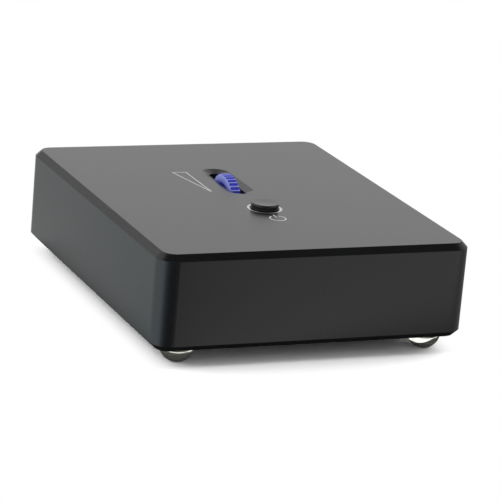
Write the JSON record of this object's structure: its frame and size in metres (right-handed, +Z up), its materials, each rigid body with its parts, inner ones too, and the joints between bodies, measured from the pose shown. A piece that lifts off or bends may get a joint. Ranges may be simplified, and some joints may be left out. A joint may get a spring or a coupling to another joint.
{
  "type": "phono preamp",
  "caption": "Low bevelled metal box on clear feet, with a ridged thumbwheel and a push button in its top and phono sockets, ground post and power inlet at its rear.",
  "frame": {"origin": "on the resting plane, under the middle of the object's box (case and rear sockets together)", "axes": "+X to the object's right seen from the front, +Y from the front face to the rear sockets, +Z up"},
  "size_m": [0.102, 0.134, 0.0372],
  "materials": {
    "anodised_case": "black anodised, fine satin",
    "anodised_button": "black anodised, turned",
    "black_screw": "black oxide",
    "clear_foot": "clear soft bumper",
    "board_green": "solder mask",
    "bright_steel": "nickel plated",
    "wheel_blue": "solid blue, moulded with ridges",
    "polished_ring": "polished, bare",
    "white_nylon": "moulded",
    "black_plastic": "moulded, fine grain",
    "gold_plate": "gold plated",
    "ring_white": "moulded",
    "ring_red": "moulded",
    "socket_insulator": "moulded",
    "capacitor_sleeve": "shrink sleeve over a can",
    "film_box": "moulded box",
    "resistor_coat": "lacquer"
  },
  "bodies": {
    "case": {"case_shell": "anodised_case", "base_plate": "anodised_case", "rear_panel": "anodised_case", "base_screws": "black_screw", "rear_panel_screws": "black_screw", "foot_front_left": "clear_foot", "foot_front_right": "clear_foot", "foot_rear_left": "clear_foot", "foot_rear_right": "clear_foot", "main_board": "board_green", "board_standoffs": "bright_steel", "board_screws": "bright_steel", "pot_body": "bright_steel", "pot_terminals": "bright_steel", "switch_spring": "bright_steel", "power_inlet_pin": "bright_steel", "button_bezel": "polished_ring", "switch_body": "black_plastic", "power_inlet_body": "black_plastic", "gain_selector_body": "black_plastic", "amplifier_chips": "black_plastic", "voltage_regulator": "black_plastic", "input_left_body": "black_plastic", "input_right_body": "black_plastic", "output_left_body": "black_plastic", "output_right_body": "black_plastic", "ground_post": "gold_plate", "ground_lock_nut": "gold_plate", "input_left_barrel": "gold_plate", "input_left_contact": "gold_plate", "input_right_barrel": "gold_plate", "input_right_contact": "gold_plate", "output_left_barrel": "gold_plate", "output_left_contact": "gold_plate", "output_right_barrel": "gold_plate", "output_right_contact": "gold_plate", "socket_rings_white": "ring_white", "socket_rings_red": "ring_red", "supply_capacitors": "capacitor_sleeve", "film_capacitors": "film_box", "resistors": "resistor_coat", "input_left_insulator": "socket_insulator", "input_right_insulator": "socket_insulator", "output_left_insulator": "socket_insulator", "output_right_insulator": "socket_insulator"},
    "gain_wheel": {"volume_wheel": "wheel_blue", "wheel_grub_screw": "black_screw", "pot_shaft": "bright_steel"},
    "power_key": {"power_button": "anodised_button", "switch_plunger": "white_nylon"},
    "selector": {"gain_selector_lever": "white_nylon"},
    "ground_clamp": {"ground_washer": "bright_steel"},
    "ground_nut": {"ground_thumb_nut": "gold_plate"}
  },
  "joints": [
    {"name": "gain_turn", "type": "hinge", "parent": "case", "child": "gain_wheel", "pos_m": [0, 0.0082, 0.0266], "axis": [-1, 0, 0], "range_deg": [0, 280]},
    {"name": "power_press", "type": "slide", "parent": "case", "child": "power_key", "axis": [0, 0, -1], "range_m": [0, 0.0016], "stiffness_N_per_m": 200, "springref_m": -0.002, "deforming": ["switch_spring"]},
    {"name": "selector_slide", "type": "slide", "parent": "case", "child": "selector", "axis": [1, 0, 0], "range_m": [0, 0.0024]},
    {"name": "ground_travel", "type": "slide", "parent": "case", "child": "ground_clamp", "axis": [0, 1, 0], "range_m": [0, 0.0021]},
    {"name": "ground_turn", "type": "hinge", "parent": "ground_clamp", "child": "ground_nut", "pos_m": [0.0098, 0.06, 0.0201], "axis": [0, 1, 0], "range_deg": [0, 1080]}
  ],
  "couplings": [
    {"joint": "ground_turn", "follows": "ground_travel", "rad_per_m": 8976}
  ]
}
